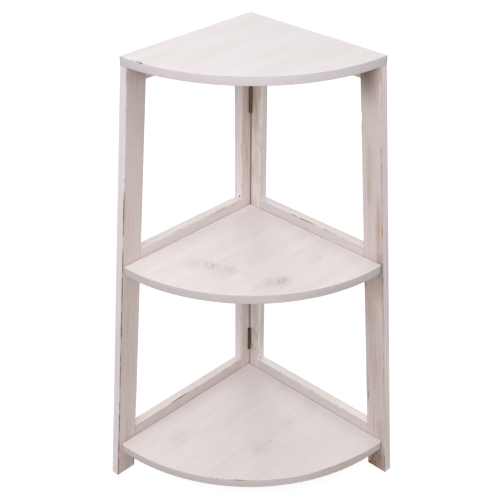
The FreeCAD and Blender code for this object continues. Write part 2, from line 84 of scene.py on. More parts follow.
# %% The node helper
SMOOTH, COLORS = {"interpolation_type": "SMOOTHSTEP"}, {"data_type": "RGBA"}


def fill(tree, made, sockets):
    if isinstance(sockets, dict):
        filled = [(made.inputs[name], value) for name, value in sockets.items()]
    else:
        filled = zip([socket for socket in made.inputs if socket.enabled], sockets)
    for socket, value in filled:
        if isinstance(value, bpy.types.NodeSocket):
            tree.links.new(value, socket)
        else:
            socket.default_value = value


def add(tree, kind, sockets=(), **settings):
    made = tree.nodes.new("ShaderNode" + kind)
    for name, value in settings.items():
        setattr(made, name, value)
    fill(tree, made, sockets)
    return next(socket for socket in made.outputs if socket.enabled)


def start_material(name):
    material = bpy.data.materials.new(name)
    material.use_nodes = True
    return material, material.node_tree, material.node_tree.nodes["Principled BSDF"]


def give_finish(node, finish):
    mesh = frame["nodes"][node].data
    mesh.materials.clear()
    mesh.materials.append(finish)


print("node helper ready")

# %% [markdown]
# ## Whitewash over pale softwood
# The real finish is a thin, matt, water-based white over a light softwood such as paulownia or
# fir. The wash sinks in unevenly: the soft early wood drinks more than the hard late wood, so
# faint streaks run along the grain, and knots bleed through as grey-brown clouds. Sanding after
# painting takes the wash off the arrises and leaves a thin brown line there.
# The pattern is solid, like wood itself: it depends on the place inside the board, so the edge
# and the end of a board match its face. The next cells each add one layer of the finish to a
# node group, and all boards share that group.

# %% Grain patterns
WASH_GREY = "#D9CFCB"
WOOD, WOOD_DARK = "#BCA289", "#8A6E58"
BARE, BARE_DARK = "#A17D60", "#6A4A37"
# The last is the brown of dust in holes and cracks, and of painted shade under boards and in gaps
KNOT, STAIN, LATE_WOOD, DUST_AND_SHADE = "#AA8A78", "#BEA392", "#987D6F", "#6B5446"
# Each pattern's scale per metre along the grain and across it, its detail and its roughness
PATTERNS = {
    # Streaks of thick and thin early wood, 4 mm wide and 200 mm long, and broader ones of 15 mm
    "streaks": (5, 250, 4.0, 0.62),
    "broad": (4, 65, 3.0, 0.5),
    # Pores are 0.3 mm wide in such wood, drawn at 0.8 mm so that they show
    "pores": (28, 1200, 3.0, 0.55),
    # The wash lies thicker and thinner over some 40 mm across the grain and 170 mm along it
    "clouds": (6, 26, 2.0, 0.55),
    # Rubbed spots break up over some 12 mm, and rubbed lines come and go over some 70 mm
    "crumbs": (60, 140, 4.0, 0.65),
    "dashes": (13, 90, 4.0, 0.6),
    # Growth rings wander over some 70 mm across the grain and four times that along it
    "wander": (3.5, 14, 2.0, 0.55),
    # Tannin stains follow fibres 1.5 mm wide and 50 mm long
    "fibres": (20, 680, 4.0, 0.7),
    # The end grain in a knot shows as specks some 3 mm wide
    "specks": (150, 290, 3.0, 0.6),
}


def grain_patterns(tree, board):
    found = {}
    for name, (along, across, detail, roughness) in PATTERNS.items():
        place = add(tree, "VectorMath", [board, (along, across, across)], operation="MULTIPLY")
        found[name] = add(tree, "TexNoise", {"Vector": place, "Scale": 1.0, "Detail": detail,
                                             "Roughness": roughness})
    return found


print("grain patterns:", ", ".join(PATTERNS))

# %% Growth rings
RING, RING_WANDER = 3.5 * MM, 20 * MM


def late_wood(tree, board, pith, wander):
    from_pith = add(tree, "VectorMath", [board, pith], operation="SUBTRACT")
    from_pith = add(tree, "VectorMath", [from_pith, (0, 1, 1)], operation="MULTIPLY")
    ring = add(tree, "VectorMath", [from_pith], operation="LENGTH")
    ring = add(tree, "Math", [wander, RING_WANDER, ring], operation="MULTIPLY_ADD")
    ring = add(tree, "Math", [ring, 1 / RING], operation="MULTIPLY")
    ring = add(tree, "Math", [ring], operation="FRACT")
    # Late wood grows slowly darker through the summer and ends at once
    rise = add(tree, "MapRange", [ring, 0.45, 0.9], **SMOOTH)
    fall = add(tree, "MapRange", [ring, 1.0, 0.92], **SMOOTH)
    return add(tree, "Math", [rise, fall], operation="MULTIPLY")


print("growth rings in millimetres:", RING / MM)

# %% The wash


def washed(tree, given, grain):
    patchy = add(tree, "MapRange", [grain["clouds"], 0.35, 0.65, 0.2], **SMOOTH)
    thin = add(tree, "MapRange", [grain["streaks"], 0.45, 0.75], **SMOOTH)
    for factor in (patchy, given["Thin"]):
        thin = add(tree, "Math", [thin, factor], operation="MULTIPLY")
    # Three layers of grey, each with its pattern, the range it is read over, and how strong it is
    figure, color = given["Figure"], given["Wash"]
    cloudy = add(tree, "Math", [figure, 0.3, 0.1], operation="MULTIPLY_ADD")
    for name, low, high, most, share in (("clouds", 0.35, 0.7, 1.0, cloudy),
                                         ("broad", 0.35, 0.75, 0.6, figure),
                                         ("streaks", 0.45, 0.8, 0.5, figure)):
        grey = add(tree, "MapRange", [grain[name], low, high, 0.0, most], **SMOOTH)
        grey = add(tree, "Math", [grey, share], operation="MULTIPLY")
        color = add(tree, "Mix", [grey, color, linear(WASH_GREY)], **COLORS)
    wood = add(tree, "MapRange", [grain["pores"], 0.35, 0.7], **SMOOTH)
    wood = add(tree, "Mix", [wood, linear(WOOD), linear(WOOD_DARK)], **COLORS)
    color = add(tree, "Mix", [thin, color, wood], **COLORS)
    # Pores stay a little darker where the wash sank in
    sunk = add(tree, "MapRange", [grain["pores"], 0.5, 0.72, 0.0, 0.3], **SMOOTH)
    sunk = add(tree, "Math", [sunk, figure], operation="MULTIPLY")
    return add(tree, "Mix", [sunk, color, linear(KNOT)], **COLORS), thin


print("wash in sRGB:", WASH_GREY)

# %% Stains and knots


def stained(tree, given, grain, late, thin, color):
    # Stains of tannin bleed through in streaks and fibres, and the hard late wood stands out there
    stain = add(tree, "MapRange", [grain["streaks"], 0.3, 0.65, 0.5], **SMOOTH)
    fibrous = add(tree, "MapRange", [grain["fibres"], 0.4, 0.6, 0.3, 1.2], **SMOOTH)
    for factor in (fibrous, given["Stain"]):
        stain = add(tree, "Math", [stain, factor], operation="MULTIPLY")
    color = add(tree, "Mix", [stain, color, linear(STAIN)], **COLORS)
    shown = add(tree, "Math", [given["Stain"], 0.4, thin], operation="MULTIPLY_ADD")
    shown = add(tree, "Math", [given["Figure"], 0.22, shown], operation="MULTIPLY_ADD")
    broken = add(tree, "MapRange", [grain["dashes"], 0.35, 0.6, 0.25], **SMOOTH)
    for factor in (broken, late):
        shown = add(tree, "Math", [shown, factor], operation="MULTIPLY")
    return add(tree, "Mix", [shown, color, linear(LATE_WOOD)], **COLORS)


def knotted(tree, given, grain, color):
    # Knots show as grey-brown specks of end grain in a paler haze
    haze = add(tree, "MapRange", [grain["crumbs"], 0.3, 0.7, 0.4, 0.9], **SMOOTH)
    knot = add(tree, "MapRange", [grain["specks"], 0.47, 0.64, 0.0, 0.62], **SMOOTH)
    haze, knot = (add(tree, "Math", [given["Knot"], layer], operation="MULTIPLY")
                  for layer in (haze, knot))
    knot = add(tree, "Math", [haze, 0.45, knot], operation="MULTIPLY_ADD")
    return add(tree, "Mix", [knot, color, linear(KNOT)], **COLORS)


print("stain and knot in sRGB:", STAIN, KNOT)

# %% Rubbed places
# Beside a rubbed arris the wash is thin for up to 3 mm, and its edge is 1.2 mm soft
RUB_WIDTH, RUB_SOFT = 3.0 * MM, 1.2 * MM


def bared(tree, given, grain):
    width = add(tree, "MapRange", [grain["dashes"], 0.46, 0.72, 0.1], **SMOOTH)
    for factor in (given["Wear"], RUB_WIDTH):
        width = add(tree, "Math", [width, factor], operation="MULTIPLY")
    line = add(tree, "Math", [width, given["Arris"]], operation="SUBTRACT")
    line = add(tree, "MapRange", [line, 0.0, RUB_SOFT, 0.0, 0.45], **SMOOTH)
    # A longer sanding leaves a thin tan line on the arris itself
    sanded = add(tree, "MapRange", [given["Arris"], 0.5 * MM, 3.0 * MM, 1.0, 0.0], **SMOOTH)
    broken = add(tree, "MapRange", [grain["dashes"], 0.3, 0.5, 0.5], **SMOOTH)
    for factor in (broken, given["Edge"]):
        sanded = add(tree, "Math", [sanded, factor], operation="MULTIPLY")
    line = add(tree, "Math", [line, sanded], operation="MAXIMUM")
    # A rubbed spot has a crumbly outline
    spot = add(tree, "Math", [grain["crumbs"], -0.5], operation="ADD")
    spot = add(tree, "Math", [spot, 0.9, given["Bare"]], operation="MULTIPLY_ADD")
    spot = add(tree, "MapRange", [spot, 0.45, 0.62], **SMOOTH)
    return add(tree, "Math", [line, spot], operation="MAXIMUM")


print("widest rub in millimetres:", RUB_WIDTH / MM)

# %% The whitewash group
MARK_KINDS = ("Bare", "Knot", "Stain", "Edge", "Seam")
GROUP_INPUTS = [
    ("Board", "Vector", (0, 0, 0)), ("Pith", "Vector", (0, 0, 0)),
    ("Wash", "Color", linear(WHITE_WASH)), ("Arris", "Float", 1.0), ("Wear", "Float", 0.5),
    ("Thin", "Float", 0.3), ("Figure", "Float", 0.5),
] + [(kind, "Float", 0.0) for kind in MARK_KINDS]
GROUP_OUTPUTS = [("Color", "Color"), ("Roughness", "Float"), ("Height", "Float")]


def whitewash_group():
    tree = bpy.data.node_groups.new("whitewash over softwood", "ShaderNodeTree")
    for name, kind, value in GROUP_INPUTS:
        made = tree.interface.new_socket(name, in_out="INPUT", socket_type="NodeSocket" + kind)
        made.default_value = value
    for name, kind in GROUP_OUTPUTS:
        tree.interface.new_socket(name, in_out="OUTPUT", socket_type="NodeSocket" + kind)
    given = tree.nodes.new("NodeGroupInput").outputs
    grain = grain_patterns(tree, given["Board"])
    late = late_wood(tree, given["Board"], given["Pith"], grain["wander"])
    color, thin = washed(tree, given, grain)
    color = stained(tree, given, grain, late, thin, color)
    color = knotted(tree, given, grain, color)
    bare = bared(tree, given, grain)
    worn = add(tree, "MapRange", [grain["crumbs"], 0.38, 0.62], **SMOOTH)
    worn = add(tree, "Mix", [worn, linear(BARE), linear(BARE_DARK)], **COLORS)
    share = add(tree, "Math", [bare, 0.85], operation="MULTIPLY")
    color = add(tree, "Mix", [share, color, worn], **COLORS)
    # Dust in nail holes, cracks and joints, and painted shade under the boards, in the gap between
    # the rear stiles and along a shelf's straight edges
    color = add(tree, "Mix", [given["Seam"], color, linear(DUST_AND_SHADE)], **COLORS)
    # Pores lie a little deep, late wood stands proud, and rubbed wood lies below the wash
    height = grain["streaks"]
    for layer, rise in ((grain["pores"], -0.25), (late, 0.25), (bare, -0.8)):
        height = add(tree, "Math", [layer, rise, height], operation="MULTIPLY_ADD")
    rough = add(tree, "MapRange", [grain["pores"], 0.3, 0.7, 0.7, 0.82], **SMOOTH)
    fill(tree, tree.nodes.new("NodeGroupOutput"), [color, rough, height])
    return tree


WHITEWASH = whitewash_group()
print("nodes in the whitewash group:", len(WHITEWASH.nodes))

# %% [markdown]
# ## How each board lies
# Grain runs along a board, so every board gets its own axes: X with the grain, Y across the
# face, Z through the thickness. The legs lean outwards by 79.5 mm over the frame's height of
# 799 mm, and their grain leans with them. A Mapping node set to Texture takes a place in the
# room into the board's own axes.

# %% Board axes
LEG_SLANT, FRAME_HEIGHT = 79.5 * MM, 799 * MM
LEAN = math.atan2(LEG_SLANT, FRAME_HEIGHT)
SIN, COS = math.sin(LEAN), math.cos(LEAN)
GRAIN = {
    "left_stile": ((0, 0, 1), (0, 1, 0)),
    "right_stile": ((0, 0, 1), (1, 0, 0)),
    "left_leg": ((0, SIN, COS), (0, COS, -SIN)),
    "right_leg": ((-SIN, 0, COS), (COS, 0, SIN)),
    "left_rail": ((0, 1, 0), (0, 0, 1)),
    "right_rail": ((1, 0, 0), (0, 0, 1)),
    "shelf": ((0, 1, 0), (1, 0, 0)),
}


def board_axes(lie):
    grain, across = (Vector(v) for v in GRAIN[lie])
    return Matrix((grain, across, grain.cross(across)))


def into_board(tree, axes, origin):
    place = add(tree, "TexCoord").node.outputs["Object"]
    turn = axes.transposed().to_euler()
    return add(tree, "Mapping", [place, origin, turn], vector_type="TEXTURE")


print("lean of the legs, degrees:", round(math.degrees(LEAN), 2))

# %% [markdown]
# ## How far a point is from an arris
# Wear follows the arrises, so the material has to know how near one is. On a board the place
# across and the place through the thickness give it; at a foot the height above the floor
# counts too. On a quarter-round board the distance to the arc counts instead. The same
# distances tell an edge, which has a tone of its own, from a face, and give the shade in the
# corner where a quarter-round board meets the rear stiles.

# %% Arris distance of a board
# The tone changes from face to edge in this range of distances from the edge
EDGE_NEAR, EDGE_FAR = 0.2 * MM, 1.0 * MM


def from_face(tree, value, half):
    size = add(tree, "Math", [value], operation="ABSOLUTE")
    return add(tree, "Math", [half, size], operation="SUBTRACT")


def board_arris(tree, local, half_width, half_thick, has_foot):
    parts = add(tree, "SeparateXYZ", [local]).node.outputs
    across = from_face(tree, parts["Y"], half_width)
    through = from_face(tree, parts["Z"], half_thick)
    edge = add(tree, "MapRange", [across, EDGE_NEAR, EDGE_FAR, 1.0, 0.0], **SMOOTH)
    far = add(tree, "Math", [across, through], operation="MAXIMUM")
    if not has_foot:
        return far, edge
    near = add(tree, "Math", [across, through], operation="MINIMUM")
    place = add(tree, "TexCoord").node.outputs["Object"]
    height = add(tree, "SeparateXYZ", [place]).node.outputs["Z"]
    far = add(tree, "Math", [far, height], operation="MINIMUM")
    return add(tree, "Math", [near, far], operation="MAXIMUM"), edge


print("an edge's tone ends within millimetres:", EDGE_FAR / MM)

# %% Arris distance of a quarter-round board
CORNER_SHADE, SHADE_NEAR, SHADE_FAR = 0.75, 0.5 * MM, 1.8 * MM


def shelf_arris(tree, local, radius, half_thick):
    parts = add(tree, "SeparateXYZ", [local]).node.outputs
    flat = add(tree, "CombineXYZ", [parts["X"], parts["Y"]])
    out = add(tree, "VectorMath", [flat], operation="LENGTH")
    rim = add(tree, "Math", [radius, out], operation="SUBTRACT")
    through = from_face(tree, parts["Z"], half_thick)
    arris = add(tree, "Math", [rim, through], operation="MAXIMUM")
    edge = add(tree, "MapRange", [rim, EDGE_NEAR, EDGE_FAR, 1.0, 0.0], **SMOOTH)
    behind = add(tree, "Math", [parts["X"], -1.0], operation="MULTIPLY")
    seam = add(tree, "Math", [behind, parts["Y"]], operation="MINIMUM")
    shade = add(tree, "MapRange", [seam, SHADE_NEAR, SHADE_FAR, CORNER_SHADE, 0.0], **SMOOTH)
    return arris, edge, shade


print("shade along a shelf's straight edges, millimetres:", SHADE_FAR / MM)

# %% [markdown]
# ## Marks that belong to one board
# A knot, a stain or a rubbed spot has its own place. Each mark is a soft ellipsoid: its middle
# is given in millimetres in the room, its half sizes along, across and through the board, and
# its strength. Bare is wood with the wash gone, Edge a tan line that long sanding left on an
# arris; the last kind is dust in a nail hole, crack or joint, and painted shade under a board
# and in the gap between the rear stiles. The marks of one kind are joined by taking the strongest.

# %% Marks on the shelves
MARKS = {}
MARKS["middle_shelf"] = [
    ("Knot", (-60, -38, 448), (24, 64, 20), 0.20), ("Knot", (-88, -52, 448), (26, 34, 20), 0.25),
    ("Knot", (-67, -34, 448), (15, 24, 20), 0.60), ("Knot", (-32, -21, 448), (16, 26, 20), 0.34),
    ("Knot", (-4, -10, 448), (14, 18, 20), 0.20), ("Knot", (54, 14, 448), (26, 18, 20), 0.53),
    ("Knot", (42, -8, 448), (28, 18, 20), 0.42), ("Knot", (47, 106, 448), (30, 13, 20), 0.34),
    # The second Stain darkens the lower part of the rim and the underside towards the right tip
    ("Stain", (52, 10, 448), (30, 22, 20), 0.22), ("Stain", (128, 60, 437), (110, 60, 9), 0.35),
]
MARKS["bottom_shelf"] = [
    ("Knot", (-107, -88, 71), (36, 26, 20), 0.28), ("Knot", (-100, -98, 71), (16, 12, 20), 0.22),
    ("Knot", (28, -2, 71), (34, 26, 20), 0.28), ("Knot", (24, 26, 71), (7, 6, 20), 0.6),
    ("Knot", (48, 28, 71), (16, 16, 20), 0.20), ("Knot", (12, 84, 71), (26, 14, 20), 0.22),
    # The Stain darkens the lower part of the rim and the underside towards the right tip
    ("Edge", (157, 74, 71), (84, 44, 7), 0.70), ("Stain", (157, 60, 60), (110, 60, 10), 0.30),
]
print("marks on the shelves:", sum(len(marks) for marks in MARKS.values()))

# %% Marks on the legs
MARKS["left_front_leg"] = [
    # Painted shade under the top shelf, darkest just below it and fading over some 180 mm, with a
    # tan stain in it
    ("Seam", (-171.5, -84, 799), (62, 60, 3), 0.34),
    ("Seam", (-171.5, -84, 799), (180, 60, 3), 0.20),
    ("Stain", (-171.5, -92, 790), (50, 40, 8), 0.35),
    ("Stain", (-171.5, -130, 560), (60, 8, 6), 0.25),
    ("Stain", (-171.5, -140, 320), (260, 34, 8), 0.32),
    ("Stain", (-171.5, -158, 50), (120, 32, 8), 0.50),
    ("Edge", (-171.5, -148, 14), (36, 7, 8), 0.80), ("Edge", (-171.5, -168, 0), (7, 26, 8), 0.70),
    ("Seam", (-171.5, -147.5, 22), (42, 3.5, 6), 0.70),
    ("Edge", (-171.5, -160.1, 285), (330, 8, 8), 0.55),
]
MARKS["right_front_leg"] = [
    # Painted shadow of the top shelf on the leg's top, with a tan stain in it
    ("Seam", (80, 171.5, 800), (85, 36, 3), 0.76), ("Stain", (96, 171.5, 770), (90, 34, 8), 0.40),
    ("Stain", (104, 171.5, 610), (100, 12, 8), 0.60),
    ("Stain", (146, 171.5, 190), (190, 40, 8), 0.30), ("Bare", (79, 171.5, 692), (40, 3, 6), 0.75),
    ("Bare", (136, 171.5, 168), (36, 3, 6), 0.55), ("Bare", (158, 171.5, 4), (10, 30, 8), 0.55),
    ("Bare", (164, 171.5, 20), (52, 34, 8), 0.52),
    ("Edge", (133.3, 171.5, 560), (190, 8, 8), 0.50),
    ("Edge", (166, 171.5, 200), (210, 8, 8), 0.42),
    ("Edge", (151.7, 171.5, 370), (140, 8, 8), 0.55), ("Edge", (168, 171.5, 0), (7, 26, 8), 0.70),
    # Brown dirt at the foot with painted shade under the bottom shelf's tip; the leg a little
    # darker over its lower part
    ("Seam", (174, 171.5, 22), (56, 24, 3), 0.28), ("Seam", (140, 171.5, 250), (130, 40, 3), 0.06),
    # Painted shade under the middle shelf, and a dark scratch on the rear arris
    ("Seam", (146, 171.5, 424), (75, 30, 3), 0.38), ("Seam", (109, 171.5, 398), (16, 4, 3), 0.60),
    ("Seam", (128, 171.5, 190), (70, 7, 3), 0.22), ("Stain", (129, 171.5, 512), (80, 8, 8), 1.20),
    ("Stain", (136, 171.5, 450), (40, 8, 8), 1.00),
    ("Stain", (122, 171.5, 370), (120, 26, 8), 0.95),
    ("Stain", (140, 171.5, 240), (120, 18, 8), 0.50),
    ("Stain", (168, 171.5, 92), (40, 16, 8), 0.80), ("Stain", (162, 171.5, 26), (66, 34, 8), 1.0),
    ("Knot", (153, 171.5, 98), (30, 4, 8), 0.60), ("Knot", (103, 171.5, 574), (40, 4, 8), 0.7),
    ("Knot", (100, 171.5, 640), (40, 5, 8), 0.35), ("Knot", (129, 171.5, 512), (16, 4, 8), 0.45),
    ("Knot", (140, 171.5, 430), (24, 9, 8), 0.7), ("Knot", (133, 171.5, 190), (14, 3.5, 8), 0.9),
    ("Knot", (162, 171.5, 20), (50, 32, 8), 0.9),
]
print("marks on the left and the right leg:", len(MARKS["left_front_leg"]),
      len(MARKS["right_front_leg"]))

# %% Marks on the rails and the rear stiles
MARKS["right_middle_rail"] = [("Knot", (-34, 171.5, 452), (24, 5, 8), 0.30)]
MARKS["left_bottom_rail"] = [("Edge", (-171.5, -20, 94), (40, 7, 6), 0.55)]
MARKS["right_bottom_rail"] = [("Edge", (50, 188.5, 94), (130, 7, 6), 0.50)]
MARKS["left_rear_stile"] = [
    ("Bare", (-175.9, 147.5, 470.9), (3, 3, 3), 1.3),
    ("Stain", (-171.5, 160, 660), (230, 14, 8), 0.65),
    ("Stain", (-171.5, 162, 250), (120, 12, 8), 0.40),
    # Brown bare wood in the gap between the rear stiles, with painted shade in the gap and beside
    # it on the face
    ("Seam", (-171.5, 178, 740), (1100, 12, 6), 0.88),
    ("Seam", (-171.5, 178, 235), (170, 12, 6), 1.15),
    ("Seam", (-175.9, 147.5, 470.9), (3.2, 3.2, 3.2), 0.95),
    # The face a little darker over its lower part
    ("Seam", (-171.5, 160, 120), (220, 20, 3), 0.11),
]
MARKS["right_rear_stile"] = [
    ("Stain", (-158, 171.5, 690), (150, 14, 8), 0.60), ("Bare", (-146.3, 177, 94), (3, 3, 3), 1.3),
    ("Stain", (-158, 171.5, 250), (120, 12, 8), 0.50),
    ("Knot", (-158, 171.5, 690), (120, 13, 8), 0.3),
    ("Knot", (-151, 171.5, 680), (28, 7, 8), 0.50), ("Knot", (-149, 171.5, 608), (12, 9, 8), 0.55),
    ("Knot", (-153, 171.5, 581), (9, 9, 8), 0.40), ("Knot", (-160, 171.5, 157), (14, 7, 8), 0.90),
    ("Knot", (-153, 171.5, 148), (16, 6, 8), 0.70), ("Knot", (-161, 171.5, 112), (20, 6, 8), 0.60),
    ("Seam", (-162, 171.5, 123.5), (3.5, 7, 3), 0.45),
    ("Seam", (-155, 171.5, 116), (8, 3, 3), 0.40),
    # The face a little darker over its lower part, and the front edge over its upper part
    ("Seam", (-158, 171.5, 120), (220, 20, 3), 0.14),
    ("Seam", (-146.3, 180, 640), (200, 4, 12), 0.12),
    # Brown bare wood in the gap between the rear stiles, with painted shade in it
    ("Seam", (-169.3, 182, 740), (1100, 3, 14), 0.88),
    ("Seam", (-169.3, 182, 235), (170, 3, 14), 1.15),
]
print("marks in all:", sum(len(marks) for marks in MARKS.values()))

# %% Masks from the marks
# A mark is at its full strength up to this share of its size
MARK_CORE = 0.2


def marks_of(tree, node, kind, local, axes, origin):
    strongest = None
    for mark_kind, place, sizes, strength in MARKS.get(node, []):
        if mark_kind != kind:
            continue
        middle = axes @ (Vector(place) * MM - origin)
        scale = [1.0 / (size * MM) for size in sizes]
        shift = [-m * s for m, s in zip(middle, scale)]
        inside = add(tree, "VectorMath", [local, scale, shift], operation="MULTIPLY_ADD")
        radius = add(tree, "VectorMath", [inside], operation="LENGTH")
        spot = add(tree, "MapRange", [radius, MARK_CORE, 1.0, strength, 0.0], **SMOOTH)
        if strongest is not None:
            spot = add(tree, "Math", [strongest, spot], operation="MAXIMUM")
        strongest = spot
    return strongest


print("boards with marks:", len(MARKS))

# %% [markdown]
# ## A material for each board
# Each board gets a copy of the finish with its own place in the grain, so that no two show the
# same figure. Wear says how wide the rubbed line gets, and Thin how much wood shows through.
# Dry chalky paint scatters light evenly, so the surface is rough and only faintly shiny.

# %% Board materials
LEG_WIDTH, FRAME_THICK = 41 * MM, 17 * MM
# A board is planed and sanded flatter than the frame's narrow stock
SHELF_RELIEF, FRAME_RELIEF, WASH_DEPTH = 0.2, 0.5, 0.25 * MM
MATT = 0.3
# Each board is cut from another part of the wood, this many metres further on
NEXT_BOARD = Vector((0.37, 0.23, 0.11))


def width_of(lie, low, high):
    if lie.endswith("leg"):
        return LEG_WIDTH
    if lie.endswith("rail"):
        return high.z - low.z
    return high.y - low.y if lie == "left_stile" else high.x - low.x


def arris_and_edge(tree, node, lie, axes):
    low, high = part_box(node)
    if lie == "shelf":
        origin = Vector((low.x, high.y, (low.z + high.z) / 2))
        local = into_board(tree, axes, origin)
        return origin, local, *shelf_arris(tree, local, high.x - low.x, (high.z - low.z) / 2)
    origin = (low + high) / 2
    local = into_board(tree, axes, origin)
    half_width = width_of(lie, low, high) / 2
    has_foot = not lie.endswith("rail")
    return origin, local, *board_arris(tree, local, half_width, FRAME_THICK / 2, has_foot), None


def board_material(node, lie, face_wash, edge_wash, wear, thin, figure, pith, seed):
    title = "whitewashed softwood, " + node.replace("_", " ")
    material, tree, shader = start_material(title)
    axes = board_axes(lie)
    origin, local, arris, rim, shade = arris_and_edge(tree, node, lie, axes)
    own_spot = NEXT_BOARD * seed
    wash = add(tree, "Mix", [rim, linear(face_wash), linear(edge_wash)], **COLORS)
    given = {"Board": add(tree, "VectorMath", [local, own_spot], operation="ADD"),
             "Pith": own_spot + Vector((0, *pith)) * MM, "Wash": wash, "Arris": arris,
             "Wear": wear, "Thin": thin, "Figure": figure}
    if shade is not None and node != "top_shelf":
        given["Seam"] = shade
    for kind in MARK_KINDS:
        mask = marks_of(tree, node, kind, local, axes, origin)
        if mask is not None:
            given[kind] = mask
    color, rough, height = add(tree, "Group", given, node_tree=WHITEWASH).node.outputs
    relief = SHELF_RELIEF if lie == "shelf" else FRAME_RELIEF
    bump = add(tree, "Bump", {"Height": height, "Strength": relief, "Distance": WASH_DEPTH})
    fill(tree, shader, {"Base Color": color, "Roughness": rough, "Normal": bump,
                        "Specular IOR Level": MATT})
    return material


print("board material ready")

# %% Every board's finish
# Node, how it lies, tone of the face and of the edge, wear, thin, figure, and where the pith lies
BOARDS = [
    ("left_rear_stile", "left_stile", "#E5DAD5", "#EDE6E7", 0.35, 0.22, 0.7, (12, -60)),
    ("right_rear_stile", "right_stile", "#E8DDD9", "#FBF3F2", 0.35, 0.25, 0.8, (-4, -50)),
    ("left_front_leg", "left_leg", "#D9CCCA", "#E6DEE3", 0.25, 0.15, 0.18, (30, -70)),
    ("right_front_leg", "right_leg", "#D0C5C4", "#ECE2E1", 0.25, 0.28, 0.50, (45, -45)),
    ("left_top_rail", "left_rail", "#D6CAC5", "#EEE6E4", 0.30, 0.40, 0.6, (10, -60)),
    ("right_top_rail", "right_rail", "#D6CAC5", "#EEE6E4", 0.30, 0.40, 0.6, (-10, -55)),
    ("left_middle_rail", "left_rail", "#DCD4D3", "#F3EBEA", 0.10, 0.06, 0.4, (25, -70)),
    ("right_middle_rail", "right_rail", "#CFC7CA", "#F0E8E6", 0.20, 0.08, 0.5, (-20, -60)),
    ("left_bottom_rail", "left_rail", "#D0C5C4", "#F4EAE8", 0.20, 0.15, 0.6, (15, -65)),
    ("right_bottom_rail", "right_rail", "#CFC8CB", "#F9F0EC", 0.25, 0.15, 0.5, (-30, -70)),
    ("top_shelf", "shelf", "#F5EFEF", "#D6CDD2", 0.25, 0.04, 0.09, (140, -240)),
    ("middle_shelf", "shelf", "#F2EBEA", "#CAC1C3", 0.25, 0.05, 0.18, (160, -220)),
    ("bottom_shelf", "shelf", "#E8E0DF", "#CBC0C1", 0.30, 0.06, 0.13, (120, -260)),
]
FINISH = {}
for seed, (node, *look) in enumerate(BOARDS, start=1):
    FINISH[node] = board_material(node, *look, seed)
    give_finish(node, FINISH[node])
print("board materials:", len(BOARDS))

# %% [markdown]
# ## Bare wood
# Where sanding went through the wash, the softwood under it shows: tan, with darker streaks
# where dirt and old stain stayed in the grain. It is a little rougher than the wash.

# %% Bare wood


def patches(tree, per_metre, detail, roughness):
    place = add(tree, "TexCoord").node.outputs["Object"]
    place = add(tree, "VectorMath", [place, per_metre], operation="MULTIPLY")
    return add(tree, "TexNoise", {"Vector": place, "Scale": 1.0, "Detail": detail,
                                  "Roughness": roughness})


BARE_WOOD, tree, shader = start_material("bare softwood, rubbed through")
# Streaks some 6 mm long
streaks = patches(tree, (160, 160, 160), 4.0, 0.65)
dark = add(tree, "MapRange", [streaks, 0.38, 0.62], **SMOOTH)
color = add(tree, "Mix", [dark, linear(BARE), linear(BARE_DARK)], **COLORS)
rough = add(tree, "MapRange", [streaks, 0.35, 0.65, 0.75, 0.9], **SMOOTH)
bump = add(tree, "Bump", {"Height": streaks, "Strength": 0.4, "Distance": 0.2 * MM})
fill(tree, shader, {"Base Color": color, "Roughness": rough, "Normal": bump,
                    "Specular IOR Level": MATT})
print("nodes in the bare wood:", len(tree.nodes))

# %% [markdown]
# ## Rubbed arrises
# Sanding took wood off the arrises, up to a millimetre, and knocks took off more. A painted
# line would leave the outline straight, so real wood is taken off instead. A fine strip is
# laid across each arris at 45 degrees, cloud noise pushes it into the wood, Solidify gives it
# a back, and a Boolean takes it off the board. The Boolean keeps the strip's own material on
# the new faces, so bare wood shows exactly where wood is gone.

# %% Straight strips
STRIP_WIDTH, STRIP_ROWS, STRIP_BACK, STRIP_STEP = 6 * MM, 3, 4 * MM, 3 * MM
# A strip runs past both ends of its arris by half of this
STRIP_OVER = 2 * MM
# The eased arris starts 0.41 mm below the sharp corner, and the strip starts just above it
FIRST_BITE, DEEPEST = 0.30 * MM, 0.9 * MM


def straight_strip(start, end, outward):
    along = (end - start).normalized()
    outward = (outward - along * outward.dot(along)).normalized()
    length = (end - start).length + STRIP_OVER
    steps = round(length / STRIP_STEP)
    bpy.ops.mesh.primitive_grid_add(x_subdivisions=steps, y_subdivisions=STRIP_ROWS, size=1)
    strip = bpy.context.object
    turn = Matrix((along, outward.cross(along), outward)).transposed().to_4x4()
    size = Matrix.Diagonal((length, STRIP_WIDTH, 1, 1))
    strip.matrix_world = Matrix.Translation((start + end) / 2 - outward * FIRST_BITE) @ turn @ size
    bpy.ops.object.transform_apply(location=True, rotation=True, scale=True)
    return strip


print("strip step in millimetres:", STRIP_STEP / MM)

# %% [markdown]
# ## Strips round an axis
# A quarter-round board needs a strip that follows its arc, and a short upright one that rounds
# each tip, where the arc meets the straight edge. Both start as a single edge, what is left of
# a plane when one side of it is deleted, and Spin sweeps that edge round an upright axis.

# %% Sweep an edge


def on_whole_mesh(tool, **settings):
    bpy.ops.object.mode_set(mode="EDIT")
    bpy.ops.mesh.select_all(action="SELECT")
    tool(**settings)
    bpy.ops.object.mode_set(mode="OBJECT")


def one_edge():
    bpy.ops.mesh.primitive_plane_add(size=1)
    edge = bpy.context.object
    bpy.ops.object.mode_set(mode="EDIT")
    bpy.ops.mesh.select_all(action="DESELECT")
    bpy.ops.object.mode_set(mode="OBJECT")
    for point in edge.data.vertices:
        point.select = point.co.x > 0
    bpy.ops.object.mode_set(mode="EDIT")
    bpy.ops.mesh.delete(type="VERT")
    bpy.ops.object.mode_set(mode="OBJECT")
    return edge


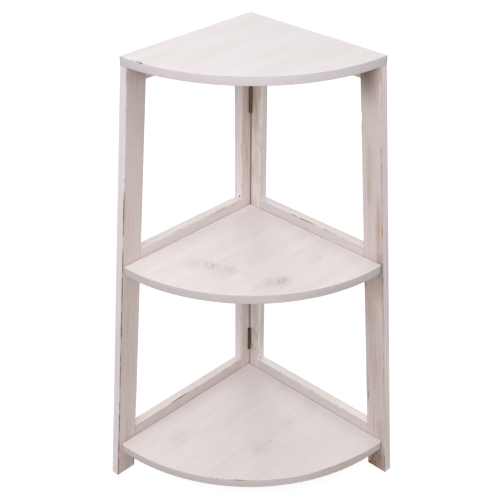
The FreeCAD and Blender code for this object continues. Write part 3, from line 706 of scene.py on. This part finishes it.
def spun(strip, cuts, steps, angle, middle):
    bpy.ops.object.transform_apply(location=True, rotation=True, scale=True)
    if cuts:
        on_whole_mesh(bpy.ops.mesh.subdivide, number_cuts=cuts)
    # Spin turns clockwise seen from above, so a turn against the clock is negative
    on_whole_mesh(bpy.ops.mesh.spin, steps=steps, angle=-angle, center=middle, axis=(0, 0, 1))
    face = strip.data.polygons[0]
    away = face.center - middle
    if face.normal.dot(Vector((away.x, away.y, 0))) < 0:
        on_whole_mesh(bpy.ops.mesh.flip_normals)
    return strip


print("sweep ready")

# %% Spun strips
# An arc's strip runs past both ends of the arc by this angle
ARC_OVER = math.radians(0.4)
# A tip's round lies this far out, so that it crosses both faces at a small angle, and its strip
# is taller than the board
TIP_OUT, TIP_OVER, TIP_STEPS = 0.1 * MM, 4 * MM, 6


def arc_strip(corner, radius, height, upwards):
    radial = Vector((-math.sin(ARC_OVER), -math.cos(ARC_OVER), 0))
    outward = (radial + Vector((0, 0, upwards))).normalized()
    across = (radial - Vector((0, 0, upwards))).normalized()
    place = Vector((corner.x, corner.y, height)) + radial * radius - outward * FIRST_BITE
    strip = one_edge()
    turn = Matrix((outward.cross(across), across, outward)).transposed()
    size = Matrix.Diagonal((1, STRIP_WIDTH, 1, 1))
    strip.matrix_world = Matrix.Translation(place + turn.col[0] / 2) @ turn.to_4x4() @ size
    steps = round(radius * math.pi / 2 / STRIP_STEP)
    return spun(strip, STRIP_ROWS - 1, steps, math.pi / 2 + 2 * ARC_OVER, corner)


def tip_strip(tip, inwards, radius, height):
    middle = tip + inwards * (radius - TIP_OUT)
    place = middle - Vector((inwards.x * radius, 0, 0))
    strip = one_edge()
    size = Matrix.Diagonal((1, height + TIP_OVER, 1, 1))
    strip.matrix_world = (Matrix.Translation(place) @ Matrix.Rotation(math.pi / 2, 4, "X")
                          @ size @ Matrix.Translation((0.5, 0, 0)))
    return spun(strip, 0, TIP_STEPS, math.pi / 2, middle)


print("spun strips ready")

# %% [markdown]
# ## Where the strips lie
# A stile has four upright arrises, a leg has four leaning ones and two round its foot, and a
# rail has four level ones. A shelf has its arc above and below, and its two tips.

# %% Arris places
# What the leg's 41 mm measure where its end is cut level
LEG_CUT = 41.2024 * MM


def frame_axes(name):
    # The left frame's boards are wide along Y and thick along X, the right frame's the other way
    return (1, 0) if name.startswith("left") else (0, 1)


def rail_arrises(node):
    low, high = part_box(node)
    along, side = frame_axes(node)
    found = []
    for face in (0, 1):
        for up in (0, 1):
            start, end, outward = Vector(low), Vector(low), Vector((0, 0, 2 * up - 1))
            start[side] = end[side] = (low, high)[face][side]
            start.z = end.z = (low, high)[up].z
            start[along], end[along] = low[along], high[along]
            outward[side] = 2 * face - 1
            found.append((start, end, outward))
    return found


def upright_arrises(node):
    low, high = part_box(node)
    wide, thick = frame_axes(node)
    lean, cut = 0.0, high[wide] - low[wide]
    if node.endswith("leg"):
        lean, cut = LEG_SLANT, LEG_CUT
    # The front of the left frame is towards -Y, and the front of the right frame towards +X
    forward, foremost = (-1, low[wide]) if wide == 1 else (1, high[wide])
    found = []
    for face in (0, 1):
        for front in (0, 1):
            start, end, outward = Vector(low), Vector(high), Vector((0, 0, 0))
            start[thick] = end[thick] = (low, high)[face][thick]
            start[wide] = foremost - forward * (1 - front) * cut
            end[wide] = start[wide] - forward * lean
            outward[wide] = forward * (2 * front - 1)
            outward[thick] = 2 * face - 1
            found.append((start, end, outward))
    return found


print("arrises on a leg:", len(upright_arrises("left_front_leg")))

# %% Feet and tips
TIP_ROUND = {"top_shelf": 2 * MM, "middle_shelf": 5 * MM, "bottom_shelf": 6 * MM}


def foot_arrises(node):
    low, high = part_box(node)
    wide, thick = frame_axes(node)
    found = []
    for face in (0, 1):
        start, end, outward = Vector(low), Vector(low), Vector((0, 0, -1))
        start[thick] = end[thick] = (low, high)[face][thick]
        if wide == 1:
            end[wide] = low[wide] + LEG_CUT
        else:
            start[wide], end[wide] = high[wide] - LEG_CUT, high[wide]
        outward[thick] = 2 * face - 1
        found.append((start, end, outward))
    return found


def tips_of(node):
    low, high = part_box(node)
    level, height, radius = (low.z + high.z) / 2, high.z - low.z, TIP_ROUND[node]
    right, left = Vector((high.x, high.y, level)), Vector((low.x, low.y, level))
    return [tip_strip(right, Vector((-1, -1, 0)), radius, height),
            tip_strip(left, Vector((1, 1, 0)), radius, height)]


print("arrises at a foot:", len(foot_arrises("left_front_leg")))

# %% [markdown]
# ## How hard each place was rubbed
# Each spot gives a place in millimetres, how far it reaches, and how hard it was rubbed. It
# lies on one face, so the arris behind it keeps its wash. What lies outside every spot gets a
# light rub, and an arris fades out where a rail ends in a joint.

# %% Rubbing
LIGHT_RUB = 0.15
# Distance through a board counts six times, so a spot stays on the arris of one face
ONE_FACE = 6
# From this share of its reach inwards, a spot is rubbed at its full strength
RUB_CORE = 0.5
JOINT_FADE = 8 * MM
RUBBED = {
    "top_shelf": [((-149, -111, 815), 22, 0.62), ((3, -38, 799), 12, 0.8), ((57, 27, 799), 10, 0.8),
                  ((105, 166, 799), 9, 0.8)],
    "bottom_shelf": [((168, 98, 71), 60, 0.45), ((147, 50, 71), 50, 0.55),
                     ((60, -140, 71), 90, 0.5)],
    "left_front_leg": [((-171.5, -134, 545), 52, 0.8), ((-171.5, -143, 425), 70, 0.75),
                       ((-171.5, -155, 330), 34, 0.8), ((-171.5, -163, 240), 60, 0.6),
                       ((-171.5, -180, 90), 95, 0.9), ((-171.5, -188, 5), 50, 0.9),
                       ((-171.5, -147, 10), 26, 0.9)],
    "right_front_leg": [((80, 171.5, 694), 34, 1.0), ((88, 171.5, 640), 16, 0.9),
                        ((138, 171.5, 520), 50, 0.22),
                        ((148, 171.5, 440), 50, 0.3), ((155, 171.5, 350), 70, 0.22),
                        ((135, 171.5, 168), 46, 0.75), ((141, 171.5, 112), 30, 0.45),
                        ((165, 171.5, 0), 50, 0.9)],
    "right_middle_rail": [((-42, 171.5, 466.5), 36, 0.55)],
    "left_bottom_rail": [((-171.5, -24, 93), 30, 0.45)],
}


def rub_at(node, place, through, fades):
    rub = LIGHT_RUB
    for spot, reach, strength in RUBBED.get(node, []):
        away = place - Vector(spot) * MM
        away[through] *= ONE_FACE
        near = 1 - away.length / (reach * MM)
        rub = max(rub, strength * min(1.0, max(0.0, near) / RUB_CORE))
    for axis, low, high in fades:
        to_joint = min(place[axis] - low, high - place[axis])
        rub *= max(0.0, min(1.0, to_joint / JOINT_FADE))
    return rub


print("boards with rubbed places:", len(RUBBED))

# %% [markdown]
# ## From strips to a cutting shell
# The strips of a board are joined into one mesh. Where the wood was rubbed, a Displace modifier
# pushes them in by cloud noise, as far as the rubbing at each place allows. A Solidify modifier
# then gives them a back, outside the wood, so that they close into a shell a Boolean can use.

# %% Cutting shells
# The noise counts from below zero, so that a hard rub takes something off everywhere
LEAST_BITE = -0.25
SHAVING_NOISE = bpy.data.textures.new("shaving noise", "CLOUDS")
SHAVING_NOISE.noise_scale = 22 * MM
SHAVING_NOISE.noise_depth = 3
SHAVING_NOISE.contrast = 2.4
SHAVING_NOISE.intensity = 0.95


def pick(*pieces):
    bpy.ops.object.select_all(action="DESELECT")
    for piece in pieces:
        piece.select_set(True)
    bpy.context.view_layer.objects.active = pieces[0]


def shell(strips, rub=None):
    pick(*strips)
    bpy.ops.object.join()
    cutter = bpy.context.object
    if rub:
        group = cutter.vertex_groups.new(name="rub")
        for point in cutter.data.vertices:
            group.add([point.index], min(1.0, rub(point.co)), "REPLACE")
        bite = cutter.modifiers.new("bite", "DISPLACE")
        bite.texture, bite.texture_coords, bite.vertex_group = SHAVING_NOISE, "LOCAL", group.name
        bite.mid_level, bite.strength, bite.direction = LEAST_BITE, -DEEPEST, "NORMAL"
        bpy.ops.object.modifier_apply(modifier=bite.name)
    back = cutter.modifiers.new("back", "SOLIDIFY")
    back.thickness, back.offset = STRIP_BACK, 1.0
    bpy.ops.object.modifier_apply(modifier=back.name)
    return cutter


print("shaving noise scale in millimetres:", round(SHAVING_NOISE.noise_scale / MM))

# %% [markdown]
# ## Take the shavings off
# Each board starts as a copy of its CAD mesh with the doubled points merged. First the tips of a
# quarter-round board come off; paint covers them, so they keep the board's own finish. Then the
# shavings come off the arrises and leave bare wood.

# %% Copy and cut
PAINTED, BARED = 0, 1
# The CAD mesh is loose triangles, whose corners meet more closely than this
SAME_POINT = 0.002 * MM


def plain_copy(node):
    board = bpy.data.objects.new(node + "_rubbed", frame["nodes"][node].data.copy())
    bpy.context.scene.collection.objects.link(board)
    pick(board)
    bpy.ops.mesh.customdata_custom_splitnormals_clear()
    on_whole_mesh(bpy.ops.mesh.remove_doubles, threshold=SAME_POINT)
    board.data.materials.clear()
    board.data.materials.append(FINISH[node])
    board.data.materials.append(BARE_WOOD)
    return board


def cut_off(board, cutter, finish):
    cutter.data.materials.clear()
    for material in board.data.materials:
        cutter.data.materials.append(material)
    for face in cutter.data.polygons:
        face.material_index = finish
    bpy.context.view_layer.objects.active = board
    cut = board.modifiers.new("cut", "BOOLEAN")
    cut.object, cut.operation, cut.solver = cutter, "DIFFERENCE", "EXACT"
    bpy.ops.object.modifier_apply(modifier=cut.name)
    bpy.data.objects.remove(cutter)


print("slots on a rubbed board, painted and bared:", PAINTED, BARED)

# %% Rub the boards
BODIES = frame["record"]["behaviour"]["bodies"]
BODY_OF = {node: body for body, nodes in BODIES.items() for node in nodes}
SMOOTH_BELOW = math.radians(30)


def rub_board(node, lie):
    low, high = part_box(node)
    sizes = list(high - low)
    through = sizes.index(min(sizes))
    board, fades = plain_copy(node), []
    if lie == "shelf":
        cut_off(board, shell(tips_of(node)), PAINTED)
        corner, radius = Vector((low.x, high.y, 0)), high.x - low.x
        strips = [arc_strip(corner, radius, high.z, 1), arc_strip(corner, radius, low.z, -1)]
    elif lie.endswith("rail"):
        strips = [straight_strip(*arris) for arris in rail_arrises(node)]
        along = frame_axes(node)[0]
        fades = [(along, low[along], high[along])]
    else:
        strips = [straight_strip(*arris) for arris in upright_arrises(node)]
    cut_off(board, shell(strips, lambda place: rub_at(node, place, through, fades)), BARED)
    if lie.endswith("leg"):
        strips = [straight_strip(*arris) for arris in foot_arrises(node)]
        cut_off(board, shell(strips, lambda place: rub_at(node, place, through, fades)), BARED)
    pick(board)
    bpy.ops.object.shade_smooth_by_angle(angle=SMOOTH_BELOW)
    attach(board, BODY_OF[node])
    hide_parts(node)
    return board


for node, lie, *_ in BOARDS:
    faces = rub_board(node, lie).data.polygons
    bare = sum(face.area for face in faces if face.material_index == BARED)
    print(node, "faces", len(faces), "bare wood, square mm", round(bare / MM ** 2))

# %% [markdown]
# ## Hinges, screws and dowels
# The hinges are stamped steel plated with brass and darkened with acid, so they are dark brown,
# with a painted highlight of warmer, lighter metal on the front of each knuckle. Their screws
# match. The screws through the rails are plain zinc-plated steel, and the dowels are bare
# beech.

# %% Metal
KNUCKLE_AXIS, KNUCKLE_RADIUS = (-168.4 * MM, 168.4 * MM, 0), 3.0 * MM
# Towards the open front, halfway between the two frames
FORWARD = (math.sqrt(0.5), -math.sqrt(0.5), 0)
# The painted highlight starts and is whole at these distances ahead of the axis, and lets this much
# show
HIGHLIGHT_FROM, HIGHLIGHT_WHOLE, HIGHLIGHT_SHARE = 0.70 * KNUCKLE_RADIUS, 0.97 * KNUCKLE_RADIUS, 0.55
# Fine grain of the plating, 0.4 mm wide
PLATE_GRAIN, PLATE_DEPTH = (2500, 2500, 2500), 0.05 * MM


# A painted highlight: the front of each knuckle, towards the open front, is mixed towards a lighter
# metal
def painted_knuckle_highlight(tree):
    place = add(tree, "TexCoord").node.outputs["Object"]
    out = add(tree, "VectorMath", [place, KNUCKLE_AXIS], operation="SUBTRACT")
    ahead = add(tree, "VectorMath", [out, FORWARD], operation="DOT_PRODUCT")
    return add(tree, "MapRange", [ahead, HIGHLIGHT_FROM, HIGHLIGHT_WHOLE, 0.0, HIGHLIGHT_SHARE], **SMOOTH)


def metal(name, dull, bright, rough_low, rough_high, per_metre, painted_highlight=None):
    material, tree, shader = start_material(name)
    tarnish = patches(tree, (per_metre,) * 3, 4.0, 0.6)
    color = add(tree, "MapRange", [tarnish, 0.3, 0.8], **SMOOTH)
    color = add(tree, "Mix", [color, linear(dull), linear(bright)], **COLORS)
    # The painted highlight on the knuckle's front
    if painted_highlight:
        front = painted_knuckle_highlight(tree)
        color = add(tree, "Mix", [front, color, linear(painted_highlight)], **COLORS)
    rough = add(tree, "MapRange", [tarnish, 0.35, 0.7, rough_high, rough_low], **SMOOTH)
    grain = patches(tree, PLATE_GRAIN, 2.0, 0.55)
    bump = add(tree, "Bump", {"Height": grain, "Strength": 0.25, "Distance": PLATE_DEPTH})
    fill(tree, shader, {"Base Color": color, "Roughness": rough, "Normal": bump,
                        "Metallic": 1.0})
    return material


# The last colour is the painted highlight on the knuckles' fronts
BRASS = metal("darkened brass plate on steel", "#45362A", "#6F5A42", 0.35, 0.6, 150, "#7A6244")
BRASS_SCREW = metal("darkened brass screw", "#4A3A29", "#94774E", 0.3, 0.55, 400)
ZINC = metal("zinc-plated steel screw", "#8F8F8C", "#BDBDB8", 0.28, 0.45, 300)
print("metals:", BRASS.name, "/", BRASS_SCREW.name, "/", ZINC.name)

# %% Dowels, and every small node's finish
BEECH_PALE, BEECH_DARK = "#D2A87C", "#A87850"
BEECH, tree, shader = start_material("bare beech dowel")
# Flecks some 3 mm long
flecks = patches(tree, (300, 300, 900), 4.0, 0.6)
dark = add(tree, "MapRange", [flecks, 0.4, 0.7], **SMOOTH)
color = add(tree, "Mix", [dark, linear(BEECH_PALE), linear(BEECH_DARK)], **COLORS)
rough = add(tree, "MapRange", [flecks, 0.3, 0.7, 0.55, 0.7], **SMOOTH)
fill(tree, shader, {"Base Color": color, "Roughness": rough})
BY_SLOT = {"antique_brass": BRASS, "brass_screw": BRASS_SCREW, "zinc_screw": ZINC,
           "beech_dowel": BEECH}
small = [part for part in frame["record"]["subparts"] if part["material_slot"] in BY_SLOT]
for part in small:
    give_finish(part["node"], BY_SLOT[part["material_slot"]])
print("metal and dowel nodes:", len(small))

# %% [markdown]
# ## Floor
# The photograph is a cut-out on white. A plain pale floor stands for the studio's white paper:
# the camera sees it lifted to white by a little emission, and the soft shadow still shows.

# %% Floor
WHITE, GLOW, FLOOR_SIZE = (1, 1, 1, 1), 0.82, 30
PAPER, PAPER_SEEN = "#B4B2B0", "#9A9A9A"


def seen_plainly(tree):
    # What the camera sees, itself or in metal and glass, as against what lights the object
    path = add(tree, "LightPath").node.outputs
    seen = add(tree, "Math", [path["Is Camera Ray"], path["Is Glossy Ray"]], operation="MAXIMUM")
    return add(tree, "Math", [seen, path["Is Transmission Ray"]], operation="MAXIMUM")


PAPER_FLOOR, tree, shader = start_material("white paper floor")
tree.nodes.remove(shader)
paper = add(tree, "BsdfDiffuse", [linear(PAPER)])
faint = add(tree, "BsdfDiffuse", [linear(PAPER_SEEN)])
glow = add(tree, "Emission", [WHITE, GLOW])
lifted = add(tree, "AddShader", [faint, glow])
mixed = add(tree, "MixShader", [seen_plainly(tree), paper, lifted])
fill(tree, tree.nodes["Material Output"], {"Surface": mixed})
bpy.ops.object.select_all(action="DESELECT")
bpy.ops.mesh.primitive_plane_add(size=FLOOR_SIZE, location=(0, 0, 0))
floor = bpy.context.object
floor.name = "floor"
floor.data.materials.append(PAPER_FLOOR)
print("floor laid, metres across:", FLOOR_SIZE)

# %% [markdown]
# ## Light
# The photograph has one large soft light, high up in front and to the left, and white all
# round. A wide area lamp gives the first and the world gives the second. The world is seen
# as plain white, but lights the shelf with less, so that its faces keep their tone.

# %% Light from all round
AROUND = 0.47
world = bpy.data.worlds.new("studio")
bpy.context.scene.world = world
world.use_nodes = True
tree = world.node_tree
strength = add(tree, "MapRange", [seen_plainly(tree), 0.0, 1.0, AROUND, 1.0])
fill(tree, tree.nodes["Background"], [WHITE, strength])
print("world strength on the shelf:", AROUND)

# %% Lamps
SHELF_MIDDLE = Vector((0, 0, 400 * MM))


def soft_light(name, direction, distance, size, power):
    lamp = bpy.data.lights.new(name, "AREA")
    lamp.shape = "DISK"
    lamp.size = size
    lamp.energy = power
    holder = bpy.data.objects.new(name, lamp)
    bpy.context.scene.collection.objects.link(holder)
    holder.location = SHELF_MIDDLE + Vector(direction).normalized() * distance
    holder.rotation_euler = (holder.location - SHELF_MIDDLE).to_track_quat("Z", "Y").to_euler()
    print(name, "watts", power, "metres across", size)


soft_light("key light", (0.12, -0.70, 0.62), 4.2, 3.0, 52.0)
soft_light("fill light", (0.70, -0.70, 0.56), 3.2, 2.2, 42.0)
soft_light("back light", (-0.70, 0.70, 0.45), 3.2, 2.0, 28.0)

# %% [markdown]
# ## Camera
# Matching about two hundred points of the photograph to the model's own corners and arcs gave
# the camera's place, its turn and its lens. It stood 1.42 m up and looked down at 31 degrees,
# with no shift and a slight roll of a third of a degree.

# %% Camera
YAW, PITCH, ROLL = math.radians(43.5814), math.radians(-31.2710), math.radians(0.3315)
CAMERA_PLACE = Vector((1046.033, -1107.392, 1417.541)) * MM
FOCAL_PIXELS, FRAME_PIXELS, SENSOR = 1062.43, 500, 36.0
camera_data = bpy.data.cameras.new("camera")
camera = bpy.data.objects.new("camera", camera_data)
bpy.context.scene.collection.objects.link(camera)
turn = (Matrix.Rotation(YAW, 4, "Z") @ Matrix.Rotation(math.pi / 2 + PITCH, 4, "X")
        @ Matrix.Rotation(ROLL, 4, "Z"))
camera.matrix_world = Matrix.Translation(CAMERA_PLACE) @ turn
camera_data.sensor_width = SENSOR
camera_data.lens = FOCAL_PIXELS / FRAME_PIXELS * SENSOR
bpy.context.scene.camera = camera
bpy.context.scene.view_settings.view_transform = "Standard"
print("lens in millimetres:", round(camera_data.lens, 2))
